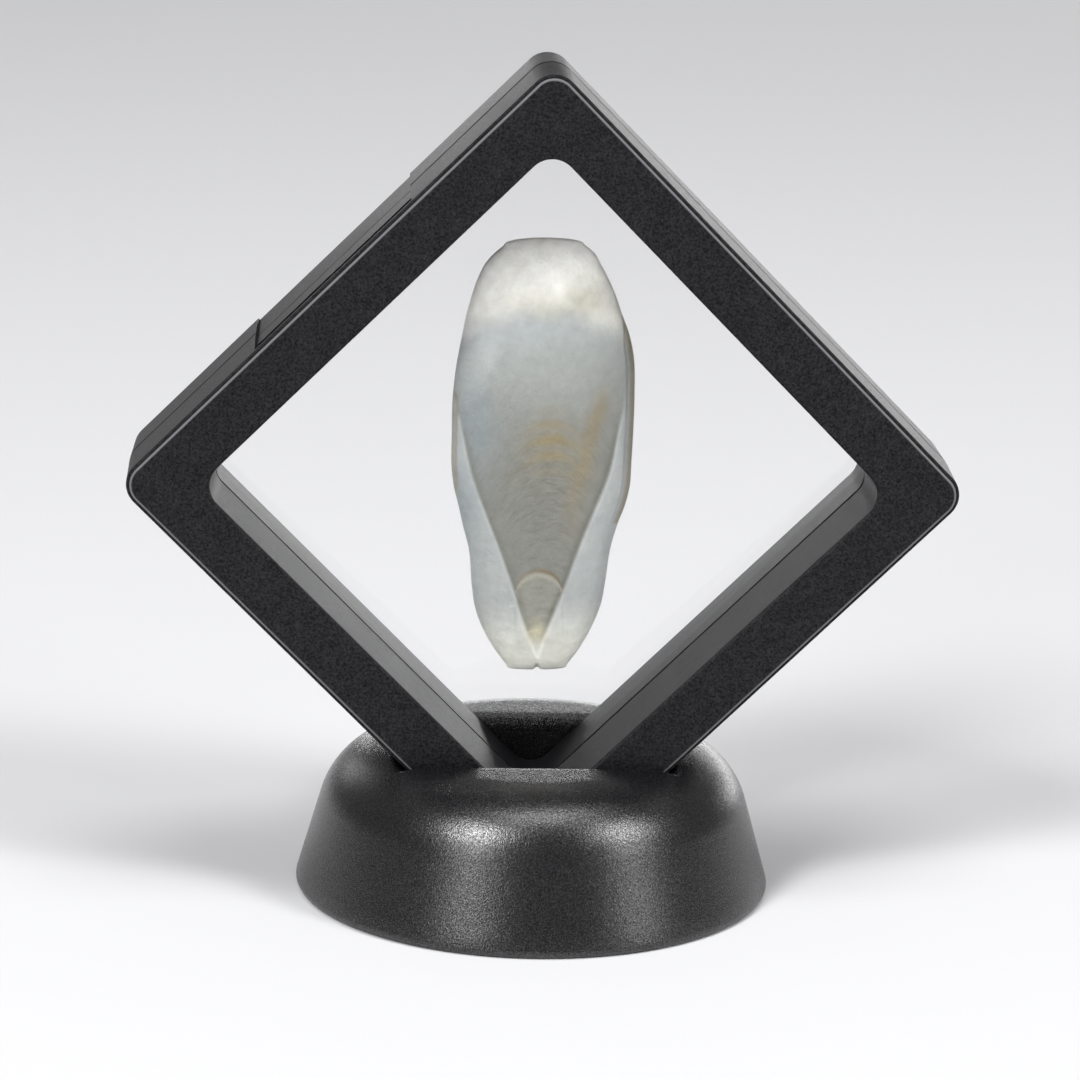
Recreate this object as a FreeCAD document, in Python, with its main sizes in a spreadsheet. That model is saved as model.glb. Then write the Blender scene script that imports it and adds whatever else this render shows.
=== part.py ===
import FreeCAD, Part
import os
import re
import Sketcher

# A floating display frame in millimetres: +Z up, the front toward -Y, and the origin on the
# table under the middle of the stand. The case is a shallow square box of two halves that
# meet at the plane y = 0. Each half holds a clear elastic film, and the two films hold the
# specimen between them. The case stands on its corner in the slot of a round stand.
# A piece of the case is drawn upright, as a square about the origin, and is then tipped
# by 45 degrees about Y. The hinge is on its +X side, which ends up at the lower right.

SIZES = {
    # Case: its outer side is the window's side and the frame's width on either hand
    "frame_width": 7.2,
    "case_depth": 20.0,
    "corner_radius": 3.0,
    "outer_flare": 0.16,
    "parting_gap": 0.3,
    "wall": 1.5,
    "face_thickness": 1.8,
    "ledge_round": 0.25,
    "parting_round": 0.3,
    # Raised plate round the window on each face
    "plate_step": 0.35,
    "plate_ledge": 0.4,
    "plate_round": 0.25,
    # Window, and the wall round it that carries the film
    "window_side": 55.6,
    "window_flare": 0.4,
    "window_radius": 2.6,
    "window_round": 0.4,
    "window_wall": 1.5,
    # Films, and the rings that wedge them in their channels
    "film_thickness": 0.2,
    "film_gap": 0.24,
    "film_skirt": 2.0,
    "film_tent_offset": 6.0,
    "film_tent_side": 13.8,
    "film_tent_end": 16.0,
    "ring_thickness": 1.4,
    # Thumb notch with its nail groove, and the catch, on the side away from the hinge
    "notch_length": 25.0,
    "notch_depth": 0.28,
    "groove_depth": 0.75,
    "groove_near": 5.2,
    "groove_far": 9.1,
    "catch_length": 12.0,
    "catch_thickness": 0.95,
    "catch_root": 4.0,
    "catch_reach": 2.2,
    "catch_gap": 0.15,
    # Hinge: it ends this far short of the window's corners, clear of the stand
    "hinge_end": 19.0,
    "hinge_offset": 0.9,
    "hinge_middle": 6.0,
    "hinge_gap": 0.2,
    "knuckle_radius": 1.3,
    "knuckle_relief": 0.25,
    "arm_root": 1.1,
    "pin_radius": 0.6,
    "pin_running_fit": 0.05,
    "pin_held_fit": 0.02,
    # Stand
    "stand_width": 57.2,
    "stand_height": 17.6,
    "stand_slope": 16.0,
    "stand_shoulder": 9.5,
    "stand_foot_round": 0.8,
    "stand_wall": 1.9,
    "slot_wall": 1.6,
    "slot_clearance": 1.0,
    "seat_gap": 0.3,
    "pocket_rise": 0.42,
    # Specimen
    "specimen_length": 52.2,
    "specimen_width": 21.4,
    "specimen_thickness": 5.4,
    "specimen_rise": 1.8,
    "specimen_lean": 1.5,
    "specimen_gap": 0.3,
}

# Stations of the specimen from its lower tip to its crown: height as a share of its length,
# width as a share of its greatest width, and how far the middle lies to the left.
SPECIMEN_STATIONS = (
    (0.00, 0.28, 0.03),
    (0.03, 0.42, 0.03),
    (0.09, 0.58, 0.03),
    (0.17, 0.71, 0.02),
    (0.29, 0.79, 0.01),
    (0.42, 0.95, 0.00),
    (0.56, 1.00, -0.01),
    (0.72, 0.97, -0.02),
    (0.85, 0.82, -0.01),
    (0.93, 0.66, -0.01),
    (0.97, 0.53, -0.01),
    (1.00, 0.29, -0.03),
)
# Thinnest that the specimen gets at its ends, as a share of its greatest thickness.
SPECIMEN_TIP_SHARE = 0.16

# How near, in millimetres, an edge lies to a plane that it is counted in.
NEAR = 1e-3

doc = FreeCAD.newDocument("FloatingFrame")
sheet = doc.addObject("Spreadsheet::Sheet", "Sizes")
for row, (alias, size) in enumerate(SIZES.items(), start=1):
    sheet.set(f"A{row}", alias)
    sheet.set(f"B{row}", str(size))
    sheet.setAlias(f"B{row}", alias)
doc.recompute()


def formula(text):
    """The text with every size in it named as a cell of the sheet."""

    def cell(word):
        name = word.group()
        return f"Sizes.{name}" if name in SIZES else name

    return re.sub(r"[a-z_]+", cell, text)


def number(text):
    """What a formula comes to with the sizes in the sheet."""
    return float(sheet.evalExpression(formula(text)))


def bind(thing, formulas):
    """Tie properties of an object to formulas of the sheet's sizes."""
    for place, text in formulas.items():
        thing.setExpression(place, formula(text))


# Derived sizes, as formulas

CASE_HALF = "(window_side / 2 + frame_width)"
PARTING = "(parting_gap / 2)"
LEDGE = "(case_depth / 2 - plate_step)"
FACE = "(case_depth / 2)"
SHELL_DEPTH = f"({LEDGE} - {PARTING})"
HALF_DEPTH = f"({FACE} - {PARTING})"
CHANNEL_FLOOR = "(case_depth / 2 - face_thickness)"
WINDOW_HALF = "(window_side / 2 + window_flare)"
CHANNEL_INNER = f"({WINDOW_HALF} + window_wall)"
CHANNEL_INNER_RADIUS = "(window_radius + window_wall)"
CHANNEL_OUTER = f"({CASE_HALF} - wall)"
FILM_HALF = f"({CHANNEL_INNER} + film_thickness)"
FILM_RADIUS = f"({CHANNEL_INNER_RADIUS} + film_thickness)"
FILM_INNER = "(film_gap / 2)"
FILM_OUTER = "(film_gap / 2 + film_thickness)"
SLOT_HALF = f"({CASE_HALF} + outer_flare + seat_gap)"
SLOT_RADIUS = "(corner_radius + outer_flare + seat_gap)"
SLOT_DEPTH = "(case_depth + 2 * slot_clearance)"
POCKET_HALF = f"({SLOT_HALF} + slot_wall)"
POCKET_RADIUS = f"({SLOT_RADIUS} + slot_wall)"
CASE_CENTRE = f"(pocket_rise + {POCKET_HALF} * sqrt(2) - {POCKET_RADIUS} * (sqrt(2) - 1))"
HINGE_ACROSS = f"({CASE_HALF} + hinge_offset)"
HINGE_LENGTH = "(window_side - 2 * hinge_end)"


# Sketches and features

def new_body(name):
    return doc.addObject("PartDesign::Body", name)


def sketch_on(body, name, role, distance):
    """An empty sketch on one of the body's own planes, moved along the plane's normal."""
    sketch = body.newObject("Sketcher::SketchObject", name)
    plane = next(item for item in body.Origin.OriginFeatures if item.Role == role)
    sketch.AttachmentSupport = [(plane, "")]
    sketch.MapMode = "FlatFace"
    bind(sketch, {"AttachmentOffset.Base.z": distance})
    return sketch


def fix(sketch, kind, places, text):
    """A dimension of the sketch that follows a formula."""
    datum = sketch.addConstraint(Sketcher.Constraint(kind, *places, number(text)))
    bind(sketch, {f"Constraints[{datum}]": text})


def add_outline(sketch, corners):
    """A closed outline of straight lines through corners, each given by two formulas."""
    points = [FreeCAD.Vector(number(across), number(up), 0) for across, up in corners]
    first = sketch.GeometryCount
    count = len(points)
    for index, point in enumerate(points):
        sketch.addGeometry(Part.LineSegment(point, points[(index + 1) % count]), False)
    for index, (across, up) in enumerate(corners):
        line = first + index
        following = first + (index + 1) % count
        sketch.addConstraint(Sketcher.Constraint("Coincident", line, 2, following, 1))
        fix(sketch, "DistanceX", (-1, 1, line, 1), across)
        fix(sketch, "DistanceY", (-1, 1, line, 1), up)


def add_circle(sketch, across, up, radius):
    centre = FreeCAD.Vector(number(across), number(up), 0)
    circle = sketch.addGeometry(Part.Circle(centre, FreeCAD.Vector(0, 0, 1), number(radius)), False)
    fix(sketch, "DistanceX", (-1, 1, circle, 3), across)
    fix(sketch, "DistanceY", (-1, 1, circle, 3), up)
    fix(sketch, "Radius", (circle,), radius)


def add_rounded_square(sketch, half, radius):
    """A square about the sketch's origin with round corners: a side and a corner, four times."""
    reach = number(half)
    straight = number(f"{half} - {radius}")
    first = sketch.GeometryCount
    upward = FreeCAD.Vector(0, 0, 1)
    for turn in range(4):
        turned = FreeCAD.Rotation(upward, 90 * turn)
        lower = turned.multVec(FreeCAD.Vector(reach, -straight, 0))
        upper = turned.multVec(FreeCAD.Vector(reach, straight, 0))
        centre = turned.multVec(FreeCAD.Vector(straight, straight, 0))
        sketch.addGeometry(Part.LineSegment(lower, upper), False)
        bend = Part.Circle(centre, upward, reach - straight)
        start = FreeCAD.Units.Quantity(f"{90 * turn} deg").getValueAs("rad").Value
        end = FreeCAD.Units.Quantity(f"{90 * turn + 90} deg").getValueAs("rad").Value
        sketch.addGeometry(Part.ArcOfCircle(bend, start, end), False)
    for turn in range(4):
        side = first + 2 * turn
        corner = side + 1
        following = first + (2 * turn + 2) % 8
        upright = turn % 2 == 0
        sketch.addConstraint(Sketcher.Constraint("Tangent", side, 2, corner, 1))
        sketch.addConstraint(Sketcher.Constraint("Tangent", corner, 2, following, 1))
        sketch.addConstraint(Sketcher.Constraint("Vertical" if upright else "Horizontal", side))
        direction = 1 if turn < 2 else -1
        fix(sketch, "DistanceX" if upright else "DistanceY", (-1, 1, side, 1), f"{direction} * {half}")
        if turn:
            sketch.addConstraint(Sketcher.Constraint("Equal", first + 1, corner))
    fix(sketch, "Radius", (first + 1,), radius)


def extrude(body, kind, name, sketch, length, direction, taper=None):
    """A Pad or Pocket along the sketch's normal (+1), against it (-1) or both ways (0)."""
    feature = body.newObject(f"PartDesign::{kind}", name)
    feature.Profile = sketch
    if direction == 0:
        feature.SideType = "Symmetric"
    elif kind == "Pad":
        feature.Reversed = direction < 0
    else:
        feature.Reversed = direction > 0
    bind(feature, {"Length": length})
    if taper:
        bind(feature, {"TaperAngle": taper})
    return feature


def round_edges(body, name, radius, chosen):
    """Round those edges of the body's last feature for which chosen(edge) is true."""
    doc.recompute()
    base = body.Tip
    names = [f"Edge{index}" for index, edge in enumerate(base.Shape.Edges, start=1) if chosen(edge)]
    rounding = body.newObject("PartDesign::Fillet", name)
    rounding.Base = (base, names)
    bind(rounding, {"Radius": radius})
    return rounding


def lies_at(edge, depth):
    """Whether an edge lies in the plane at this y."""
    return all(abs(vertex.Y - depth) < NEAR for vertex in edge.Vertexes)


def lies_level(edge, height):
    """Whether an edge lies in the plane at this z."""
    return all(abs(vertex.Z - height) < NEAR for vertex in edge.Vertexes)


def combine(kind, name, base, tool):
    """A boolean of two objects: Part::Cut, Part::Fuse or Part::Common."""
    result = doc.addObject(kind, name)
    result.Base = base
    result.Tool = tool
    return result


def tip_on_corner(piece):
    """Turn a piece of the case onto its corner and lift it to the height of the case's centre."""
    piece.Placement = FreeCAD.Placement(FreeCAD.Vector(), FreeCAD.Rotation(FreeCAD.Vector(0, 1, 0), 45))
    bind(piece, {"Placement.Base.z": CASE_CENTRE})
    return piece


# The two halves of the case

def case_half(name, side):
    """One half of the case with its window, channel and plate; side is -1 in front, +1 behind."""
    body = new_body(name)
    outward = -side

    def level(depth):
        return f"{outward} * {depth}"

    shell = sketch_on(body, f"{name}_shell_sketch", "XZ_Plane", level(PARTING))
    add_rounded_square(shell, f"({CASE_HALF} + outer_flare)", "(corner_radius + outer_flare)")
    draft = f"-atan(outer_flare / {SHELL_DEPTH})"
    extrude(body, "Pad", f"{name}_shell", shell, SHELL_DEPTH, outward, draft)
    parting = side * number(PARTING)
    round_edges(body, f"{name}_parting_round", "parting_round", lambda edge: lies_at(edge, parting))

    plate = sketch_on(body, f"{name}_plate_sketch", "XZ_Plane", level(LEDGE))
    add_rounded_square(plate, f"({CASE_HALF} - plate_ledge)", "(corner_radius - plate_ledge)")
    extrude(body, "Pad", f"{name}_plate", plate, "plate_step", outward)

    window = sketch_on(body, f"{name}_window_sketch", "XZ_Plane", level(PARTING))
    add_rounded_square(window, "(window_side / 2)", "window_radius")
    flare = f"atan(window_flare / {HALF_DEPTH})"
    extrude(body, "Pocket", f"{name}_window", window, HALF_DEPTH, outward, flare)

    channel = sketch_on(body, f"{name}_channel_sketch", "XZ_Plane", level(PARTING))
    add_rounded_square(channel, CHANNEL_OUTER, "(corner_radius - wall)")
    add_rounded_square(channel, CHANNEL_INNER, CHANNEL_INNER_RADIUS)
    extrude(body, "Pocket", f"{name}_channel", channel, f"{CHANNEL_FLOOR} - {PARTING}", outward)

    seat = sketch_on(body, f"{name}_film_seat_sketch", "XZ_Plane", level(PARTING))
    add_rounded_square(seat, FILM_HALF, FILM_RADIUS)
    extrude(body, "Pocket", f"{name}_film_seat", seat, f"{FILM_OUTER} - {PARTING}", outward)
    return body


def cut_notch(body, name, side, start, end, depth):
    """Cut the outer wall along the notch, between two levels of y and to some depth."""
    outward = -side
    floor = f"-({CASE_HALF} - {depth})"
    outside = f"-({CASE_HALF} + outer_flare + wall)"
    lower = "-notch_length / 2"
    upper = "notch_length / 2"
    sketch = sketch_on(body, f"{name}_sketch", "XZ_Plane", f"{outward} * {start}")
    add_outline(sketch, ((outside, lower), (floor, lower), (floor, upper), (outside, upper)))
    extrude(body, "Pocket", name, sketch, f"{end} - {start}", outward)


def hinge_sketch(body, name, distance, radius):
    """A circle about the hinge axis, square to it and at some distance along it."""
    sketch = sketch_on(body, name, "XY_Plane", distance)
    add_circle(sketch, HINGE_ACROSS, "0", radius)
    return sketch


def add_knuckle(body, name, side, start, length, direction):
    """A barrel on the hinge axis and the arm that carries it on the wall."""
    barrel = hinge_sketch(body, f"{name}_sketch", start, "knuckle_radius")
    extrude(body, "Pad", name, barrel, length, direction)
    near = f"{side} * {PARTING}"
    far = f"{side} * knuckle_radius"
    root = f"({CASE_HALF} - arm_root)"
    arm = sketch_on(body, f"{name}_arm_sketch", "XY_Plane", start)
    add_outline(arm, ((root, near), (HINGE_ACROSS, near), (HINGE_ACROSS, far), (root, far)))
    extrude(body, "Pad", f"{name}_arm", arm, length, direction)


def relieve_hinge(body, name):
    """Room in the wall for the knuckles of the other half."""
    relief = hinge_sketch(body, f"{name}_relief_sketch", "0", "(knuckle_radius + knuckle_relief)")
    extrude(body, "Pocket", f"{name}_relief", relief, f"{HINGE_LENGTH} + 2 * hinge_gap", 0)


def bore_hinge(body, name, fit):
    bore = hinge_sketch(body, f"{name}_bore_sketch", "0", f"(pin_radius + {fit})")
    extrude(body, "Pocket", f"{name}_bore", bore, f"{HINGE_LENGTH} + 2 * hinge_gap", 0)


def round_face(body, name, side):
    """Round the two edges of the raised plate and the outer edge of the ledge round it."""
    face = side * number(FACE)
    ledge = side * number(LEDGE)
    middle = number("window_side / 2 + frame_width / 2")
    reach = number(CASE_HALF)

    def distance(vertex):
        return max(abs(vertex.X), abs(vertex.Z))

    def inside(edge):
        return all(distance(vertex) < middle for vertex in edge.Vertexes)

    def outermost(edge):
        return all(abs(distance(vertex) - reach) < NEAR for vertex in edge.Vertexes)

    round_edges(body, f"{name}_window_round", "window_round",
                lambda edge: lies_at(edge, face) and inside(edge))
    round_edges(body, f"{name}_plate_round", "plate_round",
                lambda edge: lies_at(edge, face) and not inside(edge))
    round_edges(body, f"{name}_ledge_round", "ledge_round",
                lambda edge: lies_at(edge, ledge) and outermost(edge))


def make_front_frame():
    name = "front_frame"
    side = -1
    body = case_half(name, side)
    cut_notch(body, f"{name}_notch", side, PARTING, "groove_near", "notch_depth")
    cut_notch(body, f"{name}_groove", side, "groove_near", "groove_far", "groove_depth")

    half_catch = "(catch_length / 2)"
    rear_face = f"-({CHANNEL_OUTER} - catch_gap)"
    inner_face = f"-({CHANNEL_OUTER} - catch_gap - catch_thickness)"
    in_wall = f"-({CHANNEL_OUTER} + catch_gap)"
    root = sketch_on(body, f"{name}_catch_root_sketch", "XZ_Plane", PARTING)
    add_outline(root, ((in_wall, f"-{half_catch}"), (inner_face, f"-{half_catch}"),
                       (inner_face, half_catch), (in_wall, half_catch)))
    extrude(body, "Pad", f"{name}_catch_root", root, "catch_root", 1)
    lug = sketch_on(body, f"{name}_catch_sketch", "XZ_Plane", PARTING)
    add_outline(lug, ((rear_face, f"-{half_catch}"), (inner_face, f"-{half_catch}"),
                      (inner_face, half_catch), (rear_face, half_catch)))
    extrude(body, "Pad", f"{name}_catch", lug, "parting_gap + catch_reach", -1)

    relieve_hinge(body, name)
    add_knuckle(body, f"{name}_knuckle", side, "0", "hinge_middle", 0)
    bore_hinge(body, name, "pin_running_fit")
    round_face(body, name, side)
    return tip_on_corner(body)


def make_rear_frame():
    name = "rear_frame"
    side = 1
    body = case_half(name, side)
    cut_notch(body, f"{name}_notch", side, PARTING, LEDGE, "notch_depth")
    relieve_hinge(body, name)
    start = "(hinge_middle / 2 + hinge_gap)"
    length = f"{HINGE_LENGTH} / 2 - {start}"
    add_knuckle(body, f"{name}_upper_knuckle", side, start, length, 1)
    add_knuckle(body, f"{name}_lower_knuckle", side, f"-{start}", length, -1)
    bore_hinge(body, name, "pin_held_fit")
    round_face(body, name, side)
    return tip_on_corner(body)


def make_hinge_pin():
    body = new_body("hinge_pin")
    sketch = hinge_sketch(body, "hinge_pin_sketch", "0", "pin_radius")
    extrude(body, "Pad", "hinge_pin_rod", sketch, HINGE_LENGTH, 0)
    return tip_on_corner(body)


# Films and their rings

def make_film_ring(name, side):
    """A square ring on the channel's floor, wedged round the skirt of the film."""
    body = new_body(name)
    outward = -side
    sketch = sketch_on(body, f"{name}_sketch", "XZ_Plane", f"{outward} * {FILM_OUTER}")
    add_rounded_square(sketch, f"({FILM_HALF} + ring_thickness)", f"({FILM_RADIUS} + ring_thickness)")
    add_rounded_square(sketch, FILM_HALF, FILM_RADIUS)
    extrude(body, "Pad", f"{name}_band", sketch, f"{CHANNEL_FLOOR} - {FILM_OUTER}", outward)
    return tip_on_corner(body)


def make_tent(name, side, extra):
    """An ellipsoid whose cap stands out of the film's plane, round its half of the specimen."""
    tent = doc.addObject("Part::Ellipsoid", name)
    turn = FreeCAD.Rotation(FreeCAD.Vector(0, 1, 0), -SIZES["specimen_lean"])
    tent.Placement = FreeCAD.Placement(FreeCAD.Vector(), turn)
    bind(tent, {
        "Radius1": f"specimen_length / 2 + film_tent_end + {extra}",
        "Radius2": f"specimen_width / 2 + film_tent_side + {extra}",
        "Radius3": f"specimen_thickness / 2 + specimen_gap + film_tent_offset + {extra}",
        "Placement.Base.y": f"{-side} * film_tent_offset",
        "Placement.Base.z": f"{CASE_CENTRE} + specimen_rise",
    })
    return tent


def make_film(name, side):
    """A film over the window wall: a flat sheet with a skirt, drawn out into a tent."""
    outward = -side
    tray = new_body(f"{name}_tray")
    sheet_sketch = sketch_on(tray, f"{name}_sheet_sketch", "XZ_Plane", f"{outward} * {FILM_INNER}")
    add_rounded_square(sheet_sketch, FILM_HALF, FILM_RADIUS)
    extrude(tray, "Pad", f"{name}_sheet", sheet_sketch, "film_thickness", outward)
    skirt = sketch_on(tray, f"{name}_skirt_sketch", "XZ_Plane", f"{outward} * {FILM_OUTER}")
    add_rounded_square(skirt, FILM_HALF, FILM_RADIUS)
    add_rounded_square(skirt, CHANNEL_INNER, CHANNEL_INNER_RADIUS)
    extrude(tray, "Pad", f"{name}_skirt", skirt, "film_skirt", outward)
    tip_on_corner(tray)

    keep = doc.addObject("Part::Box", f"{name}_own_side")
    bind(keep, {
        "Length": "2 * window_side",
        "Width": "window_side",
        "Height": "2 * window_side",
        "Placement.Base.x": "-window_side",
        "Placement.Base.y": FILM_INNER if side > 0 else f"-({FILM_INNER} + window_side)",
        "Placement.Base.z": f"{CASE_CENTRE} - window_side",
    })
    outer = make_tent(f"{name}_tent_outside", side, "film_thickness")
    cap = combine("Part::Common", f"{name}_cap", outer, keep)
    closed = combine("Part::Fuse", f"{name}_closed", tray, cap)
    inner = make_tent(f"{name}_tent_inside", side, "0")
    return combine("Part::Cut", name, closed, inner)


# Stand

def make_dome(name, inset, bottom, shoulder):
    """A cone about Z with a rounded shoulder, set in from the outside of the stand."""
    body = new_body(name)
    top = f"(stand_height - {inset})"

    def radius(height):
        return f"(stand_width / 2 - {inset} / cos(stand_slope * 1 deg) - {height} * tan(stand_slope * 1 deg))"

    sketch = sketch_on(body, f"{name}_sketch", "XZ_Plane", "0")
    add_outline(sketch, (("0", bottom), (radius(bottom), bottom), (radius(top), top), ("0", top)))
    turned = body.newObject("PartDesign::Revolution", f"{name}_turned")
    turned.Profile = sketch
    turned.ReferenceAxis = (sketch, ["V_Axis"])
    turned.Angle = 360
    height = number(top)
    round_edges(body, f"{name}_shoulder", shoulder, lambda edge: edge.Closed and lies_level(edge, height))
    return body


def corner_prism(body, name, half, radius, depth, kind):
    """A prism of a rounded square on its corner, through the middle of the case."""
    sketch = sketch_on(body, f"{name}_sketch", "XZ_Plane", "0")
    on_corner = FreeCAD.Rotation(FreeCAD.Vector(0, 0, 1), 45)
    sketch.AttachmentOffset = FreeCAD.Placement(FreeCAD.Vector(), on_corner)
    bind(sketch, {"AttachmentOffset.Base.y": CASE_CENTRE})
    add_rounded_square(sketch, half, radius)
    return extrude(body, kind, name, sketch, depth, 0)


def make_stand():
    """A hollow dome with a pocket for the corner of the case, open in a slot at the top."""
    dome = make_dome("stand_dome", "0", "0", "stand_shoulder")
    round_edges(dome, "stand_foot", "stand_foot_round", lambda edge: edge.Closed and lies_level(edge, 0))
    core = make_dome("stand_core", "stand_wall", "-stand_wall", "stand_shoulder - stand_wall")
    pocket = new_body("stand_pocket")
    pocket_depth = f"{SLOT_DEPTH} + 2 * slot_wall"
    corner_prism(pocket, "stand_pocket_block", POCKET_HALF, POCKET_RADIUS, pocket_depth, "Pad")
    cavity = combine("Part::Cut", "stand_cavity", core, pocket)
    shell = combine("Part::Cut", "stand_shell", dome, cavity)
    doc.recompute()
    body = new_body("stand")
    body.BaseFeature = shell
    corner_prism(body, "stand_slot", SLOT_HALF, SLOT_RADIUS, SLOT_DEPTH, "Pocket")
    return body


# Specimen

def make_specimen():
    """A long chalky shell, lofted through ellipses and leaning a little in the case."""
    sections = []
    for index, (height, width, left) in enumerate(SPECIMEN_STATIONS):
        along = 2 * height - 1
        thickness = max((1 - along ** 2) ** 0.75, SPECIMEN_TIP_SHARE)
        section = doc.addObject("Part::Ellipse", f"specimen_section_{index}")
        bind(section, {
            "MajorRadius": f"specimen_width / 2 * {width}",
            "MinorRadius": f"specimen_thickness / 2 * {thickness:.3f}",
            "Placement.Base.x": f"-specimen_width * {left}",
            "Placement.Base.z": f"specimen_length * {height - 0.5:.3f}",
        })
        sections.append(section)
    body = doc.addObject("Part::Loft", "specimen")
    body.Sections = sections
    body.Solid = True
    body.Ruled = False
    lean = FreeCAD.Rotation(FreeCAD.Vector(0, 1, 0), -SIZES["specimen_lean"])
    body.Placement = FreeCAD.Placement(FreeCAD.Vector(), lean)
    bind(body, {"Placement.Base.z": f"{CASE_CENTRE} + specimen_rise"})
    return body


pieces = {
    "stand": make_stand(),
    "front_frame": make_front_frame(),
    "rear_frame": make_rear_frame(),
    "hinge_pin": make_hinge_pin(),
    "front_film_ring": make_film_ring("front_film_ring", -1),
    "rear_film_ring": make_film_ring("rear_film_ring", 1),
    "front_film": make_film("front_film", -1),
    "rear_film": make_film("rear_film", 1),
    "specimen": make_specimen(),
}
for name, piece in pieces.items():
    piece.Label = name
doc.recompute()

for thing in doc.Objects:
    if "Invalid" in thing.State or "Error" in thing.State:
        raise RuntimeError(f"{thing.Name} did not compute: {thing.State}")
for name, piece in pieces.items():
    if piece.Shape.isNull() or not piece.Shape.isValid():
        raise RuntimeError(f"{name} has no valid shape")

os.makedirs("parts", exist_ok=True)
for name, piece in pieces.items():
    piece.Shape.exportStep(f"parts/{name}.step")
    print(f"{name}: {len(piece.Shape.Solids)} solid, {piece.Shape.Volume:.1f} mm3")
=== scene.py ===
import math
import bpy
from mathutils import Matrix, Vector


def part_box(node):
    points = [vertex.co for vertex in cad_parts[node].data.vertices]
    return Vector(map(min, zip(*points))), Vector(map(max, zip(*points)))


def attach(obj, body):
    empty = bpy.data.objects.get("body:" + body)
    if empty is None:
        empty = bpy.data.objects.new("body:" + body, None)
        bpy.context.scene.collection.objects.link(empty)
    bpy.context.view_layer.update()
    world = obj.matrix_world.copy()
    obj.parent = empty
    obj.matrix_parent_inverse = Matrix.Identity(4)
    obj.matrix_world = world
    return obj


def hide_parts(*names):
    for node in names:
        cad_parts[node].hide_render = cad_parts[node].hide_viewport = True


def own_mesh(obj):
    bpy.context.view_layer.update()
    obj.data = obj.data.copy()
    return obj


bl_info = {
    "name": "Floating Display Frame",
    "version": (1, 0, 0),
    "blender": (4, 5, 0),
    "location": "View3D > Sidebar > Display Frame",
    "description": "Finishes a display case on its corner: mouldings, clear films, cuttlebone and stand",
    "category": "Object",
}

import bmesh
import bpy
import numpy as np
from bpy.props import FloatProperty, FloatVectorProperty, PointerProperty
from mathutils import Matrix, Vector

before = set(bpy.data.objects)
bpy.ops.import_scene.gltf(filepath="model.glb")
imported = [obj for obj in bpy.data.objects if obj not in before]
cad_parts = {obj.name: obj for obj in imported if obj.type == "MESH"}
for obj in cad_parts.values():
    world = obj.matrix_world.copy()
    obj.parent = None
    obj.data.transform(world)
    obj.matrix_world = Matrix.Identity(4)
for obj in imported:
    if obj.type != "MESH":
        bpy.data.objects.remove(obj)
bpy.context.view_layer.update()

MM = 0.001

# Sizes below are in millimetres unless a name or a unit says otherwise. The ones that the
# frame can tell are read from it.

case_low, case_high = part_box("rear_frame")
film_low, film_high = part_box("front_film")
CASE_CENTRE = (case_low.z + case_high.z) / 2 / MM
CASE_REACH = (case_high.x - case_low.x) / 2 / MM
CASE_DEPTH = 2 * case_high.y / MM
FILM_REACH = (film_high.x - film_low.x) / 2 / MM
STAND_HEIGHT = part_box("stand")[1].z / MM
CASE_RADIUS = 3.16


def linear(code):
    """The linear colour of an sRGB hex code."""
    shades = [int(code[place:place + 2], 16) / 255 for place in (0, 2, 4)]
    return [shade / 12.92 if shade <= 0.04045 else ((shade + 0.055) / 1.055) ** 2.4
            for shade in shades]


def smooth_step(low, high, value):
    """0 below low, 1 above high and an even S between; high may be the lower one."""
    share = np.clip((value - low) / (high - low), 0, 1)
    return share * share * (3 - 2 * share)


def half_side(reach, radius):
    """Half the side of a square with round corners that stands on its corner, from its reach."""
    return (reach + radius * (math.sqrt(2) - 1)) / math.sqrt(2)


def hump(value, centre, width):
    """A bell of height 1 about a centre."""
    return np.exp(-((value - centre) / width) ** 2)


def direction(azimuth, elevation):
    """The unit vector toward a place seen from the case; azimuth 0 is straight in front."""
    return Vector((
        math.sin(azimuth) * math.cos(elevation),
        -math.cos(azimuth) * math.cos(elevation),
        math.sin(elevation)))


# Settings

class StandSettings(bpy.types.PropertyGroup):
    width: FloatProperty(
        name="Width", description="Diameter of the sharp foot of the dome",
        default=57.2 * MM, unit="LENGTH")
    slope: FloatProperty(
        name="Slope", description="Lean of the dome's wall from upright",
        default=math.radians(16), subtype="ANGLE")
    shoulder: FloatProperty(
        name="Shoulder", description="Radius of the round shoulder",
        default=9.5 * MM, unit="LENGTH")
    lip: FloatProperty(
        name="Lip", description="Radius of the round edge of the slot",
        default=0.45 * MM, unit="LENGTH")
    colour: FloatVectorProperty(
        name="Colour", description="Colour of the moulded plastic",
        default=linear("0F0E10"), subtype="COLOR")
    grain: FloatProperty(
        name="Grain", description="Size of the spark grain of the mould",
        default=0.19 * MM, unit="LENGTH")


class CaseSettings(bpy.types.PropertyGroup):
    colour: FloatVectorProperty(
        name="Colour", description="Colour of the moulded plastic",
        default=linear("1B1A1C"), subtype="COLOR")
    grain: FloatProperty(
        name="Grain", description="Size of the spark grain of the mould",
        default=0.28 * MM, unit="LENGTH")
    film_thickness: FloatProperty(
        name="Film thickness", description="Thickness of each stretched film",
        default=0.15 * MM, unit="LENGTH")


class SpecimenSettings(bpy.types.PropertyGroup):
    half_thickness: FloatProperty(
        name="Half thickness", description="Greatest height of either side over the edge",
        default=2.65 * MM, unit="LENGTH")
    flank_step: FloatProperty(
        name="Flank step", description="Height of the smooth flanks over the grown field",
        default=0.45 * MM, unit="LENGTH")
    growth_step: FloatProperty(
        name="Growth step", description="Distance between growth lines",
        default=0.85 * MM, unit="LENGTH")
    colour: FloatVectorProperty(
        name="Colour", description="Colour of the chalky crown",
        default=linear("FAF9F3"), subtype="COLOR")


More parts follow.
